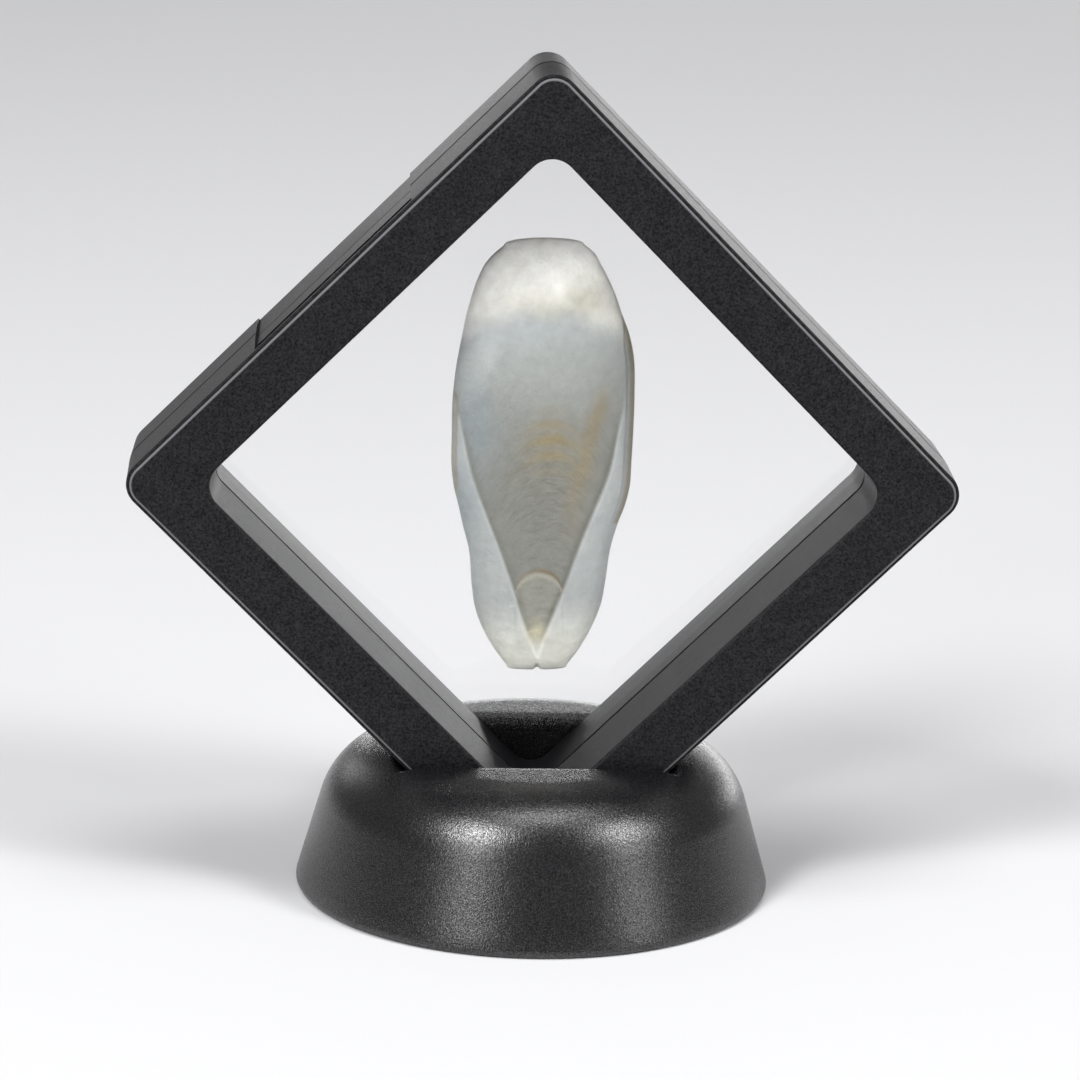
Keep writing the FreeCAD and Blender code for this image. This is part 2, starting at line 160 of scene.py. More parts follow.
class StageSettings(bpy.types.PropertyGroup):
    azimuth: FloatProperty(
        name="Azimuth", description="Direction of the camera round the case",
        default=math.radians(-2.64), subtype="ANGLE")
    elevation: FloatProperty(
        name="Elevation", description="Height of the camera over the horizon",
        default=math.radians(13.36), subtype="ANGLE")
    roll: FloatProperty(
        name="Roll", description="Turn of the camera about its own line of sight",
        default=math.radians(1.43), subtype="ANGLE")
    drop: FloatProperty(
        name="Drop", description="How far below the case's centre the camera aims",
        default=math.radians(0.94), subtype="ANGLE")
    aside: FloatProperty(
        name="Aside", description="How far to the left of the case's centre the camera aims",
        default=0.13 * MM, unit="LENGTH")
    distance: FloatProperty(
        name="Distance", description="From the camera to the centre of the case",
        default=495 * MM, unit="LENGTH")
    lens: FloatProperty(
        name="Lens", description="Focal length in millimetres on a 36 mm sensor", default=140)
    floor: FloatVectorProperty(
        name="Floor", description="Colour of the floor", default=linear("D6D6D8"), subtype="COLOR")
    surround: FloatProperty(
        name="Surround", description="Strength of the pale surround", default=0.22)


# Nodes and meshes

def add_node(tree, kind, inputs=None, **settings):
    """Add a node with its settings; inputs hold values, or sockets to link from."""
    node = tree.nodes.new(kind)
    for name, value in settings.items():
        setattr(node, name, value)
    for socket, value in (inputs or {}).items():
        if isinstance(value, bpy.types.NodeSocket):
            tree.links.new(value, node.inputs[socket])
        else:
            node.inputs[socket].default_value = value
    return node


def new_material(name):
    """A material with an empty tree, and its output node."""
    material = bpy.data.materials.new(name)
    material.use_nodes = True
    material.node_tree.nodes.clear()
    output = add_node(material.node_tree, "ShaderNodeOutputMaterial")
    return material, material.node_tree, output


def wear(piece, material):
    """Give a piece one material."""
    piece.data.materials.clear()
    piece.data.materials.append(material)


def new_piece(name, points, faces, sharp=None):
    """A smooth mesh object from points in millimetres, with edges sharper than an angle kept."""
    mesh = bpy.data.meshes.new(name)
    mesh.from_pydata([tuple(point) for point in np.asarray(points) * MM], [], faces)
    mesh.validate()
    mesh.update()
    mesh.shade_smooth()
    if sharp:
        mesh.set_sharp_from_angle(angle=math.radians(sharp))
    piece = bpy.data.objects.new(name, mesh)
    bpy.context.scene.collection.objects.link(piece)
    return piece


def turn_outward(piece):
    """Point every face of a closed piece outward."""
    working = bmesh.new()
    working.from_mesh(piece.data)
    bmesh.ops.recalc_face_normals(working, faces=working.faces)
    working.to_mesh(piece.data)
    working.free()


def tube_faces(columns, rows, first, last):
    """Quads between neighbouring columns of rows points, the last column beside the first, and
    a fan at either end of the columns, to the points first and last."""
    faces = []
    for column in range(columns):
        following = (column + 1) % columns
        for row in range(rows - 1):
            here = column * rows + row
            there = following * rows + row
            faces.append((here, there, there + 1, here + 1))
    for column in range(columns):
        following = (column + 1) % columns
        faces.append((column * rows, first, following * rows))
        faces.append((column * rows + rows - 1, following * rows + rows - 1, last))
    return faces


def rounded_square(half, radius, angle):
    """Distance from the middle to the edge of a square with round corners, at an angle."""
    turn = angle % (math.pi / 2)
    turn = min(turn, math.pi / 2 - turn)
    straight = half - radius
    flat = half / math.cos(turn)
    if flat * math.sin(turn) <= straight:
        return flat
    reach = straight * (math.cos(turn) + math.sin(turn))
    return reach + math.sqrt(max(reach ** 2 - 2 * straight ** 2 + radius ** 2, 0))


# Materials

# The raised plates of the case: the flare of the wall around them, the ledge that they step in
# by, and where the painted highlight on their rounded edges starts and is full, measured from
# the side and the face.
WALL_FLARE = 0.16
PLATE_LEDGE = 0.4
PLATE_HALF = half_side(CASE_REACH, CASE_RADIUS) - WALL_FLARE - PLATE_LEDGE
PLATE_RADIUS = 2.6
# The grey painted into the rounded plate edges as their highlight.
PLATE_EDGE_HIGHLIGHT = "6A6A6C"
HIGHLIGHT_START = 0.3
HIGHLIGHT_FULL_SIDE = 0.15
HIGHLIGHT_FULL_FACE = 0.2


def moulded_abs(name, colour, grain, roughness, pit_depth, shine, edges=None):
    """ABS plastic, injection moulded in a spark-eroded mould. The fine pits of the mould give it
    a dark speckle: soft grey glints where a lamp shows, and no clear mirror anywhere. Real pits
    are under 0.1 mm wide, and are drawn as coarse as they need to show. Where edges(tree, place)
    says, a grey painted highlight is mixed into the colour of the rounded edges."""
    material, tree, output = new_material(name)
    place = add_node(tree, "ShaderNodeTexCoord").outputs["Object"]
    pits = add_node(tree, "ShaderNodeTexNoise", {
        "Vector": place, "Scale": 1 / grain, "Detail": 2.0, "Roughness": 0.55})
    cloud = add_node(tree, "ShaderNodeTexNoise", {
        "Vector": place, "Scale": 0.12 / grain, "Detail": 3.0, "Roughness": 0.6})
    shade = add_node(tree, "ShaderNodeMapRange", {
        "Value": pits.outputs["Fac"], "From Min": 0.36, "From Max": 0.64, "To Min": 0.45, "To Max": 1.55})
    tone = add_node(tree, "ShaderNodeMapRange", {
        "Value": cloud.outputs["Fac"], "From Min": 0.3, "From Max": 0.7, "To Min": 0.85, "To Max": 1.15})
    both = add_node(tree, "ShaderNodeMath", {
        0: shade.outputs["Result"], 1: tone.outputs["Result"]}, operation="MULTIPLY")
    tinted = add_node(tree, "ShaderNodeVectorMath", {
        0: tuple(colour), "Scale": both.outputs["Value"]}, operation="SCALE")
    finish = tinted.outputs["Vector"]
    if edges:
        # A grey painted highlight mixed into the colour of the rounded edges.
        highlighted = add_node(tree, "ShaderNodeMix", {
            "Factor": edges(tree, place), "A": finish, "B": (*linear(PLATE_EDGE_HIGHLIGHT), 1)}, data_type="RGBA")
        finish = highlighted.outputs["Result"]
    rough = add_node(tree, "ShaderNodeMapRange", {
        "Value": pits.outputs["Fac"], "From Min": 0.3, "From Max": 0.7,
        "To Min": roughness - 0.06, "To Max": roughness + 0.06})
    glint = add_node(tree, "ShaderNodeTexNoise", {
        "Vector": place, "Scale": 1.3 / grain, "Detail": 1.0, "Roughness": 0.5})
    shine_share = add_node(tree, "ShaderNodeMapRange", {
        "Value": glint.outputs["Fac"], "From Min": 0.37, "From Max": 0.63, "To Min": 0.3, "To Max": 1.1})
    relief = add_node(tree, "ShaderNodeBump", {
        "Height": pits.outputs["Fac"], "Strength": 1.0, "Distance": pit_depth})
    surface = add_node(tree, "ShaderNodeBsdfPrincipled", {
        "Base Color": finish,
        "Roughness": rough.outputs["Result"],
        "Normal": relief.outputs["Normal"],
        "Specular IOR Level": shine,
        "Specular Tint": shine_share.outputs["Result"],
        "IOR": 1.54})
    tree.links.new(surface.outputs["BSDF"], output.inputs["Surface"])
    return material


def plate_edge_highlight(tree, place):
    """Where the painted highlight on the rounded outer edge of the raised plates lies: near the
    outline of a square with round corners, and close to either face."""
    centred = add_node(tree, "ShaderNodeVectorMath", {
        0: place, 1: (0, 0, CASE_CENTRE * MM)}, operation="SUBTRACT")
    turned = add_node(tree, "ShaderNodeVectorRotate", {
        "Vector": centred.outputs["Vector"], "Axis": (0, 1, 0), "Angle": math.radians(-45)})
    folded = add_node(tree, "ShaderNodeVectorMath", {0: turned.outputs["Vector"]}, operation="ABSOLUTE")
    straight = (PLATE_HALF - PLATE_RADIUS) * MM
    beyond = add_node(tree, "ShaderNodeVectorMath", {
        0: folded.outputs["Vector"], 1: (straight, 1, straight)}, operation="SUBTRACT")
    corner = add_node(tree, "ShaderNodeVectorMath", {
        0: beyond.outputs["Vector"], 1: (0, 0, 0)}, operation="MAXIMUM")
    reach = add_node(tree, "ShaderNodeVectorMath", {0: corner.outputs["Vector"]}, operation="LENGTH")
    along = add_node(tree, "ShaderNodeMapRange", {
        "Value": reach.outputs["Value"], "From Min": (PLATE_RADIUS - HIGHLIGHT_START) * MM,
        "From Max": (PLATE_RADIUS - HIGHLIGHT_FULL_SIDE) * MM, "To Min": 0.0, "To Max": 1.0})
    depth = add_node(tree, "ShaderNodeSeparateXYZ", {"Vector": folded.outputs["Vector"]})
    outer = add_node(tree, "ShaderNodeMapRange", {
        "Value": depth.outputs["Y"], "From Min": (CASE_DEPTH / 2 - HIGHLIGHT_START) * MM,
        "From Max": (CASE_DEPTH / 2 - HIGHLIGHT_FULL_FACE) * MM, "To Min": 0.0, "To Max": 1.0})
    both = add_node(tree, "ShaderNodeMath", {
        0: along.outputs["Result"], 1: outer.outputs["Result"]}, operation="MULTIPLY")
    return both.outputs["Value"]


def drawn_steel(name):
    """Steel wire, drawn and cut to length: a grey shine, drawn out along the pin by lines of
    their real width, of which only the pin's small ends and gaps show any."""
    material, tree, output = new_material(name)
    place = add_node(tree, "ShaderNodeTexCoord").outputs["Object"]
    lines_across = 1 / (0.05 * MM)
    lines_along = 120
    along = add_node(tree, "ShaderNodeMapping", {
        "Vector": place, "Rotation": (0, math.radians(-45), 0),
        "Scale": (lines_across, lines_across, lines_along)})
    lines = add_node(tree, "ShaderNodeTexNoise", {
        "Vector": along.outputs["Vector"], "Scale": 1.0, "Detail": 2.0})
    rough = add_node(tree, "ShaderNodeMapRange", {
        "Value": lines.outputs["Fac"], "To Min": 0.2, "To Max": 0.42})
    surface = add_node(tree, "ShaderNodeBsdfPrincipled", {
        "Base Color": (*linear("B9BABC"), 1), "Metallic": 1.0, "Roughness": rough.outputs["Result"]})
    tree.links.new(surface.outputs["BSDF"], output.inputs["Surface"])
    return material


def stretched_urethane(name):
    """Polyurethane film, cast clear and stretched: all but unseen head on, and a soft glint
    where it turns away from the eye."""
    material, tree, output = new_material(name)
    edge = add_node(tree, "ShaderNodeLayerWeight", {"Blend": 0.25})
    cover = add_node(tree, "ShaderNodeMapRange", {
        "Value": edge.outputs["Facing"], "From Min": 0.0, "From Max": 1.0, "To Min": 0.03, "To Max": 0.35})
    surface = add_node(tree, "ShaderNodeBsdfPrincipled", {
        "Base Color": (*linear("F4F6F7"), 1),
        "Roughness": 0.06,
        "IOR": 1.5,
        "Transmission Weight": 1.0,
        "Alpha": cover.outputs["Result"]})
    tree.links.new(surface.outputs["BSDF"], output.inputs["Surface"])
    return material


# Each tint of the cuttlebone lies over the ones before it, where its own mask says.
CUTTLEBONE_TINTS = (
    # The first tint is the crown's cream, and also painted shade on the right of the crown.
    ("cream_and_shade", "BCBAAA"),
    ("field", "B6BAB9"),
    ("grade", "A0A4A1"),
    ("dome", "9AA1A4"),
    ("chamber", "80817B"),
    ("flank", "A8ACAB"),
    ("bluish", "8A9396"),
    ("plug", "9A9A8E"),
    ("streak", "8A8068"),
    ("stain", "94845A"),
    ("shadow", "5F5F56"),
    ("horn", "887D68"),
    ("rim", "B4B0A0"),
    ("line", "6E5F48"),
    ("beak", "D2CBAA"),
    ("foot", "EEEEE4"),
)


# The cuttlebone's grain in millimetres: how far apart its growth lines lie, their length, and
# the size of its cloudy mottle and of its pits.
LAMINA_STEP = 0.7
LAMINA_LENGTH = 1.8
LAMINA_TINT = "686357"
MOTTLE = 1.3
PITS = 0.3


def grown_chalk(name, colour):
    """Cuttlebone, aragonite grown in thin layers: a chalky white that light enters a little,
    grey-blue where the layers show through, and tan where the chamber walls are stained."""
    material, tree, output = new_material(name)
    place = add_node(tree, "ShaderNodeTexCoord").outputs["Object"]
    tint = (*colour, 1)
    for mask, code in CUTTLEBONE_TINTS:
        share = add_node(tree, "ShaderNodeAttribute", attribute_name=mask)
        layer = add_node(tree, "ShaderNodeMix", {
            "Factor": share.outputs["Fac"], "A": tint, "B": (*linear(code), 1)}, data_type="RGBA")
        tint = layer.outputs["Result"]
    grown = add_node(tree, "ShaderNodeAttribute", attribute_name="grown")
    across = add_node(tree, "ShaderNodeAttribute", attribute_name="across")
    layered = add_node(tree, "ShaderNodeCombineXYZ", {
        "X": across.outputs["Fac"], "Y": grown.outputs["Fac"]})
    laminae = add_node(tree, "ShaderNodeMapping", {
        "Vector": layered.outputs["Vector"], "Scale": (1 / LAMINA_LENGTH, 1 / LAMINA_STEP, 1)})
    growth = add_node(tree, "ShaderNodeTexNoise", {
        "Vector": laminae.outputs["Vector"], "Scale": 1.0, "Detail": 5.0, "Roughness": 0.7,
        "Distortion": 0.6})
    growing = add_node(tree, "ShaderNodeAttribute", attribute_name="growth")
    lines = add_node(tree, "ShaderNodeMapRange", {
        "Value": growth.outputs["Fac"], "From Min": 0.42, "From Max": 0.66, "To Min": 0.0, "To Max": 0.55})
    line_share = add_node(tree, "ShaderNodeMath", {
        0: lines.outputs["Result"], 1: growing.outputs["Fac"]}, operation="MULTIPLY")
    lined = add_node(tree, "ShaderNodeMix", {
        "Factor": line_share.outputs["Value"], "A": tint, "B": (*linear(LAMINA_TINT), 1)},
        data_type="RGBA")
    mottle = add_node(tree, "ShaderNodeTexNoise", {
        "Vector": place, "Scale": 1 / (MOTTLE * MM), "Detail": 6.0, "Roughness": 0.66})
    value = add_node(tree, "ShaderNodeMapRange", {
        "Value": mottle.outputs["Fac"], "From Min": 0.3, "From Max": 0.7, "To Min": 0.9, "To Max": 1.08})
    patchy = add_node(tree, "ShaderNodeHueSaturation", {
        "Color": lined.outputs["Result"], "Value": value.outputs["Result"]})
    lumps = add_node(tree, "ShaderNodeBump", {
        "Height": mottle.outputs["Fac"], "Strength": 1.0, "Distance": 0.16 * MM})
    ridges = add_node(tree, "ShaderNodeBump", {
        "Height": line_share.outputs["Value"], "Strength": 1.0, "Distance": 0.12 * MM,
        "Normal": lumps.outputs["Normal"]}, invert=True)
    fine = add_node(tree, "ShaderNodeTexNoise", {
        "Vector": place, "Scale": 1 / (PITS * MM), "Detail": 2.0, "Roughness": 0.5})
    relief = add_node(tree, "ShaderNodeBump", {
        "Height": fine.outputs["Fac"], "Strength": 1.0, "Distance": 0.025 * MM,
        "Normal": ridges.outputs["Normal"]})
    surface = add_node(tree, "ShaderNodeBsdfPrincipled", {
        "Base Color": patchy.outputs["Color"],
        "Roughness": 0.58,
        "IOR": 1.5,
        "Subsurface Weight": 0.25,
        "Subsurface Radius": (1.0, 0.85, 0.7),
        "Subsurface Scale": 0.6 * MM,
        "Normal": relief.outputs["Normal"]})
    tree.links.new(surface.outputs["BSDF"], output.inputs["Surface"])
    return material


# Case: the mouldings, rings and pin keep their solids

# Each half ends short of the middle plane by the parting. The rib is a square with round
# corners: half its sides outside and inside, and half the straight part of both.
PARTING = 0.15
RIB_OUTER = 34.3
RIB_INNER = 33.6
RIB_STRAIGHT = 31.9
RIB_CLEARANCE = 0.02
RING_COLOUR = "1A1A1B"


class CASE_OT_finish_mouldings(bpy.types.Operator):
    """Give the two halves of the case and their film rings the finish of black ABS, with a painted
    highlight on the rounded edges of the halves' plates
    """
    bl_idname = "display.finish_mouldings"
    bl_label = "Finish Mouldings"

    def execute(self, context):
        case = context.scene.case_settings
        # The rounded edges of the halves' plates get a painted highlight.
        shell = moulded_abs("moulded_abs_case", case.colour, case.grain, roughness=0.42,
                            pit_depth=0.05 * MM, shine=0.16, edges=plate_edge_highlight)
        for name in ("front_frame", "rear_frame"):
            wear(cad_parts[name], shell)
        ring = moulded_abs("moulded_abs_ring", linear(RING_COLOUR), case.grain, roughness=0.5,
                           pit_depth=0.008 * MM, shine=0.3)
        for name in ("front_film_ring", "rear_film_ring"):
            wear(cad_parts[name], ring)
        return {"FINISHED"}


class CASE_OT_rib_parting(bpy.types.Operator):
    """Model the low rib on the wall of the front half that closes the parting to light"""
    bl_idname = "display.rib_parting"
    bl_label = "Rib Parting"

    around = 240

    def execute(self, context):
        case = context.scene.case_settings
        far = PARTING - RIB_CLEARANCE
        section = ((RIB_OUTER, -PARTING), (RIB_OUTER, far), (RIB_INNER, far), (RIB_INNER, -PARTING))
        points = []
        for place in range(self.around):
            angle = 2 * math.pi * place / self.around
            tipped = angle - math.pi / 4
            for half, depth in section:
                reach = rounded_square(half, half - RIB_STRAIGHT, angle)
                points.append((reach * math.cos(tipped), depth, reach * math.sin(tipped) + CASE_CENTRE))
        faces = []
        for place in range(self.around):
            here = place * len(section)
            there = (place + 1) % self.around * len(section)
            for corner in range(len(section)):
                beside = (corner + 1) % len(section)
                faces.append((here + corner, there + corner, there + beside, here + beside))
        piece = new_piece("parting_rib", points, faces, sharp=40)
        turn_outward(piece)
        finish = moulded_abs("moulded_abs_rib", case.colour, case.grain, roughness=0.5,
                             pit_depth=0.008 * MM, shine=0.16)
        wear(piece, finish)
        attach(piece, "front_half")
        return {"FINISHED"}


class CASE_OT_finish_hinge_pin(bpy.types.Operator):
    """Give the hinge pin the finish of drawn steel"""
    bl_idname = "display.finish_hinge_pin"
    bl_label = "Finish Hinge Pin"

    def execute(self, context):
        wear(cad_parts["hinge_pin"], drawn_steel("drawn_steel_pin"))
        return {"FINISHED"}


# Cuttlebone

# Half widths to the left and to the right at heights over its middle, from the crown down.
OUTLINE = (
    (25.25, 4.3, 5.0),
    (24.3, 5.45, 6.15),
    (23.1, 6.5, 6.85),
    (21.9, 7.15, 7.5),
    (19.5, 8.05, 8.6),
    (17.0, 8.75, 9.45),
    (14.6, 9.25, 10.3),
    (12.2, 9.75, 10.8),
    (7.4, 10.4, 10.95),
    (2.6, 10.55, 10.8),
    (-1.1, 10.6, 10.6),
    (-3.5, 10.35, 10.45),
    (-5.9, 9.8, 9.9),
    (-8.3, 9.3, 9.0),
    (-11.0, 8.65, 8.2),
    (-15.6, 8.3, 7.5),
    (-18.0, 8.0, 7.05),
    (-20.4, 7.25, 6.15),
    (-22.1, 6.45, 5.3),
    (-23.9, 5.35, 4.2),
    (-25.5, 4.2, 3.0),
)

# The heights of its two ends, its lean, and how far it sits over the case's centre.
CROWN = 26.1
FOOT = -26.1
LEAN = math.radians(1.5)
RISE = 1.8

# The grown field narrows between the flanks: its left and right edge at heights.
FIELD_LEFT = ((9.0, -11.2), (6.2, -10.1), (3.3, -9.45), (-2.5, -8.15), (-6.5, -6.75), (-10.4, -5.3),
              (-14.8, -3.8), (-19.1, -2.55), (-22.7, -1.35), (-24.5, -0.6))
FIELD_RIGHT = ((12.0, 11.0), (8.5, 10.15), (5.5, 9.6), (2.6, 9.0), (-2.1, 7.95), (-6.1, 6.3),
               (-10.8, 4.4), (-15.5, 2.7), (-19.1, 1.3), (-22.4, 0.1), (-24.5, -0.4))

# The arch: the height of its top, its middle across, and half its width.
ARCH_TOP = -13.4
ARCH_MIDDLE = -0.4
ARCH_HALF = 2.8


def along_height(stations, height):
    """A value given at some heights, smoothly drawn between them by a cubic through each."""
    heights = np.array([station[0] for station in stations][::-1])
    values = np.array([station[1] for station in stations][::-1])
    slopes = np.gradient(values, heights)
    place = np.clip(np.searchsorted(heights, height) - 1, 0, len(heights) - 2)
    span = heights[place + 1] - heights[place]
    share = np.clip((height - heights[place]) / span, 0, 1)
    start = (1 + 2 * share) * (1 - share) ** 2 * values[place]
    end = share ** 2 * (3 - 2 * share) * values[place + 1]
    bend = share * (1 - share) ** 2 * slopes[place] - share ** 2 * (1 - share) * slopes[place + 1]
    return start + end + span * bend


def half_widths(height):
    """Left and right half width of the cuttlebone at heights, closing round at both ends."""
    crown_share = np.clip((height - OUTLINE[0][0]) / (CROWN - OUTLINE[0][0]), 0, 1)
    foot_share = np.clip((OUTLINE[-1][0] - height) / (OUTLINE[-1][0] - FOOT), 0, 1)
    closing = (1 - crown_share ** 2.2) ** 0.5 * (1 - foot_share ** 3.2) ** 0.4
    left = along_height([(row[0], row[1]) for row in OUTLINE], height)
    right = along_height([(row[0], row[2]) for row in OUTLINE], height)
    return left * closing, right * closing


def ripple(across, height, step, seed):
    """A slow uneven wave over the surface, from a few sines that don't share a period."""
    wave = np.sin(across / step * 1.0 + seed) + np.sin(height / step * 0.73 + 2.1 * seed)
    wave += np.sin((across * 0.6 + height) / step * 1.31 + 3.7 * seed)
    wave += np.sin((across - height * 0.8) / step * 1.9 + 5.3 * seed)
    return wave / 4


def cuttlebone_masks(across, height, left, right):
    """Where each tint and form of the cuttlebone's front lies, as shares from 0 to 1. Numbers are
    millimetres across and along it, from its middle."""
    edge_left = along_height(FIELD_LEFT, height)
    edge_right = along_height(FIELD_RIGHT, height)
    warp = ripple(across, height, 0.8, 1.0)
    slow = ripple(across, height, 2.3, 2.4)
    inside = smooth_step(edge_left - 0.1, edge_left + 0.35, across)
    inside = inside * smooth_step(edge_right + 0.1, edge_right - 0.35, across)
    above_beak = smooth_step(-23.6, -20.6, height)
    masks = {"inside": inside, "across": across}
    masks |= crown_masks(across, height, warp, slow)
    masks |= field_masks(across, height, warp, slow, inside, above_beak)
    shadow = hump(across, edge_right - 0.3, 0.55) + 0.65 * hump(across, edge_left + 0.3, 0.5)
    masks["shadow"] = 0.6 * shadow * smooth_step(8.0, -1.0, height) * above_beak * inside
    masks |= arch_masks(across, height, inside, above_beak)
    masks["beak"] = hump(across, -0.75 + 0.3 * warp, 1.0) * hump(height, -21.4, 1.5) * 0.85
    masks["foot"] = smooth_step(-16.0, -25.5, height + 0.5 * slow) * (1 - 0.8 * inside * above_beak)
    masks |= strip_masks(across, height, left, right)
    return masks


def crown_masks(across, height, warp, slow):
    """The creamy parts of the white crown, with painted shade on its right, and the grown dome that starts
    under it.
    """
    dome = 17.2 - 0.05 * np.maximum(across - 1.5, 0) ** 2 - 0.03 * np.minimum(across + 1, 0) ** 2
    above_dome = height + 0.4 * warp + 0.7 * slow - dome
    # Painted shade: the right of the crown gets a darker cream, where the right softbox lights it more than
    # the left.
    right_crown_shade = smooth_step(1.0, 4.0, across) * smooth_step(9.0, 6.0, across) * hump(height, 18.8, 2.6)
    patches = 0.15 * smooth_step(0.05, 0.75, slow + 0.4 * warp) * smooth_step(14, 19, height)
    lower_crown = smooth_step(22.0, 17.0, height + 0.9 * slow) * smooth_step(-9.0, 2.0, across)
    lower_crown *= 0.9 - 0.5 * smooth_step(4.0, 7.5, across)
    grade_top = 17.0 - 8.0 * smooth_step(-4.0, -8.5, across)
    return {
        "cream_and_shade": np.maximum(np.maximum(patches, 0.8 * right_crown_shade), lower_crown),
        "field": smooth_step(1.9, -1.9, above_dome),
        "grade": smooth_step(grade_top, grade_top - 5.0, height + 0.6 * slow),
        "dome": 0.35 * hump(above_dome, -1.3, 1.8) * hump(across, -0.5, 7.0),
    }


def field_masks(across, height, warp, slow, inside, above_beak):
    """The grown field between the flanks: where its chambers show, its blue and tan places, and
    the lines that it grew in."""
    chamber = inside * smooth_step(15.0, -2.0, height + 0.9 * slow) * above_beak
    upper_blue = 0.75 * hump(across, -7.6, 2.6) * hump(height, 4.0, 6.0) * inside
    lower_blue = 0.55 * hump(across, -9.5, 2.2) * hump(height, -5.0, 5.0)
    streak = hump(across, 5.0 + 0.27 * np.clip(height, -6, 8) + 0.3 * warp, 1.15 + 0.25 * slow)
    streak = streak * smooth_step(-13.0, 1.0, height) * smooth_step(10.6, 5.6, height + 0.6 * slow)
    grown = height + 0.11 * (across - 0.9) ** 2 + 0.25 * warp
    bands = 0.66 + 0.34 * np.sin((grown - 0.1) / 1.95 * 2 * math.pi)
    return {
        "chamber": chamber,
        "bluish": np.maximum(upper_blue, lower_blue),
        "flank": (1 - inside) * smooth_step(7.0, 3.0, height),
        "streak": 0.85 * streak * inside,
        "stain": 0.85 * hump(across, 1.1, 3.0) * hump(grown, 2.2, 3.4) * bands * inside,
        "growth": (0.3 + 0.7 * hump(across, 0.2, 4.2) * hump(height, -4.0, 6.5)) * chamber,
        "grown": grown,
    }


def arch_masks(across, height, inside, above_beak):
    """The arch low in the field: the plug under it, its pale rim and its dark line."""
    wall = across - ARCH_MIDDLE
    arch_height = ARCH_TOP - 2.75 * (1 - np.sqrt(np.clip(1 - (wall / ARCH_HALF) ** 2, 0, 1)))
    reach = smooth_step(ARCH_HALF + 0.1, ARCH_HALF - 0.15, np.abs(wall))
    under_arch = smooth_step(arch_height + 0.1, arch_height - 0.25, height) * reach * above_beak
    side = 0.55 + 0.45 * smooth_step(-1.5, 0.8, wall)
    line = side * hump(height, arch_height, 0.26) * reach * smooth_step(-17.0, -15.4, height)
    marks = hump(across, -0.4, 0.6) * hump(height, -15.9, 0.7) * np.sin(height / 0.42 * 2 * math.pi) ** 2
    return {
        "under_arch": under_arch,
        "plug": 0.5 * under_arch * inside,
        "rim": 0.5 * hump(height, arch_height - 0.55, 0.32) * reach,
        "line": np.maximum(line, 0.3 * marks),
    }


def strip_masks(across, height, left, right):
    """The horny strips that run down both edges."""
    right_strip = 0.95 * smooth_step(17.6, 12.5, height) * smooth_step(-8.3, -7.8, height)
    left_strip = 0.6 * smooth_step(8.6, 7.2, height) * smooth_step(-4.4, -3.2, height)
    in_right = smooth_step(0.12, -0.05, right - right_strip - across) * (right_strip > 0.05)
    in_left = smooth_step(0.12, -0.05, left - left_strip + across) * (left_strip > 0.05)
    return {
        "strip": np.maximum(in_right, in_left),
        "horn": np.maximum(in_right * smooth_step(0.95, 0.25, right - across) * 0.75, 0.45 * in_left),
    }


def cuttlebone_front(across, height, left, right, settings):
    """Height of the front over the edge's plane, and the masks that go with it."""
    masks = cuttlebone_masks(across, height, left, right)
    half = np.where(across < 0, left, right)
    share = np.clip(np.abs(across) / np.maximum(half, 1e-6), 0, 1)
    swell = (1 - share ** 3.2) ** 0.6
    level = cuttlebone_swell(height, settings)
    hollow = settings.flank_step / MM * masks["inside"] * smooth_step(10.0, 0.0, height)
    grown = height + 0.10 * (across - 0.4) ** 2 + 0.12 * ripple(across, height, 0.5, 2.0)
    step = settings.growth_step / MM
    uneven = 1.3 * ripple(across, height, 0.9, 4.0)
    lines = np.sin(grown / step * 2 * math.pi) + 0.6 * np.sin(grown / step * 4.6 + uneven)
    lines *= 0.012 * masks["growth"]
    arch = 0.16 * masks["under_arch"]
    strip = 0.55 * masks["strip"] * smooth_step(1.0, 0.55, share * 0.6)
    lumps = 0.13 * ripple(across, height, 0.65, 3.0) * smooth_step(13, 20, height)
    front = level * swell - hollow * swell + lines - strip * swell + arch + lumps * swell
    return np.maximum(front, 0.02 * swell), masks


def cuttlebone_swell(height, settings):
    """Greatest height of either side over the edge's plane, at heights along it."""
    share = np.clip(np.abs(height) / CROWN, 0, 1)
    return settings.half_thickness / MM * np.maximum(1 - share ** 3.6, 0) ** 0.6


def cuttlebone_back(across, height, left, right, settings):
    """Depth of the back under the edge's plane: an even vault with a fine pebbled skin."""
    half = np.where(across < 0, left, right)
    share = np.clip(np.abs(across) / np.maximum(half, 1e-6), 0, 1)
    pebbles = 0.035 * np.sin(across / 0.31) * np.sin(height / 0.37 + np.sin(across / 0.9))
    vault = cuttlebone_swell(height, settings) * (1 - share ** 2.1) ** 0.55
    return np.maximum(vault + pebbles * vault / 2, 0)


def to_world(across, height, depth):
    """Points of the cuttlebone, leaning in the case, in millimetres in the frame."""
    world_x = across * math.cos(LEAN) - height * math.sin(LEAN)
    world_z = across * math.sin(LEAN) + height * math.cos(LEAN) + CASE_CENTRE + RISE
    return np.stack([world_x, depth, world_z], axis=-1)


